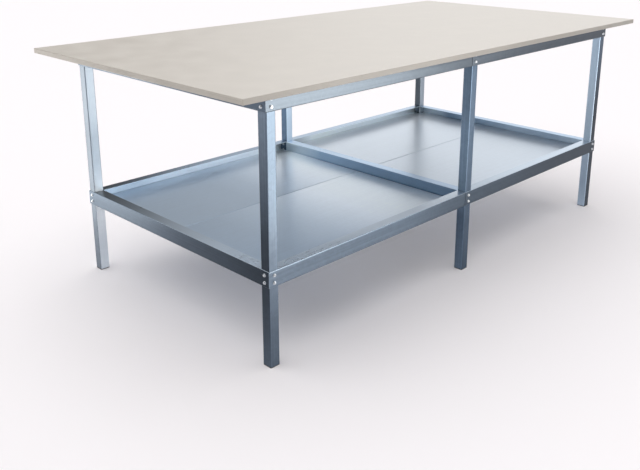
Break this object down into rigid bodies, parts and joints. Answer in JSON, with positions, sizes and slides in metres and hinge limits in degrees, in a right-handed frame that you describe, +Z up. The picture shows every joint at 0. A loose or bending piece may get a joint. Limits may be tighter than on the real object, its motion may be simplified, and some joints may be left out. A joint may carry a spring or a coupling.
{
  "type": "assembly table",
  "caption": "Large workshop table: laminated board on a bolted, galvanised sheet-steel frame, with a sunken full-size lower shelf in two bays.",
  "frame": {"origin": "on the floor, under the middle of the board", "axes": "+X along the table towards its right end, +Y to its rear, +Z up"},
  "size_m": [2.35, 1.2, 0.9],
  "materials": {
    "laminate_board": "chipboard with a matt greige laminate",
    "edging": "matt edging strip",
    "galvanised_tube": "galvanised, semi-bright",
    "galvanised_sheet": "galvanised, semi-bright",
    "plug_plastic": "moulded grey",
    "zinc_fasteners": "zinc plated"
  },
  "bodies": {
    "root": {"tabletop_board": "laminate_board", "edging_front": "edging", "edging_rear": "edging", "edging_left": "edging", "edging_right": "edging", "leg_front_left": "galvanised_tube", "foot_plug_front_left": "plug_plastic", "leg_front_middle": "galvanised_tube", "foot_plug_front_middle": "plug_plastic", "leg_front_right": "galvanised_tube", "foot_plug_front_right": "plug_plastic", "leg_rear_left": "galvanised_tube", "foot_plug_rear_left": "plug_plastic", "leg_rear_middle": "galvanised_tube", "foot_plug_rear_middle": "plug_plastic", "leg_rear_right": "galvanised_tube", "foot_plug_rear_right": "plug_plastic", "top_rail_front_left": "galvanised_sheet", "top_rail_front_right": "galvanised_sheet", "top_rail_rear_left": "galvanised_sheet", "top_rail_rear_right": "galvanised_sheet", "top_rail_end_left": "galvanised_sheet", "top_rail_middle": "galvanised_sheet", "top_rail_end_right": "galvanised_sheet", "shelf_rail_front_left": "galvanised_sheet", "shelf_rail_front_right": "galvanised_sheet", "shelf_rail_rear_left": "galvanised_sheet", "shelf_rail_rear_right": "galvanised_sheet", "shelf_rail_end_left": "galvanised_sheet", "shelf_rail_middle": "galvanised_sheet", "shelf_rail_end_right": "galvanised_sheet", "shelf_panel_front_left": "galvanised_sheet", "shelf_panel_rear_left": "galvanised_sheet", "shelf_panel_front_right": "galvanised_sheet", "shelf_panel_rear_right": "galvanised_sheet", "shelf_support_angle": "galvanised_sheet", "top_bolts": "zinc_fasteners", "shelf_bolts": "zinc_fasteners"}
  },
  "joints": []
}
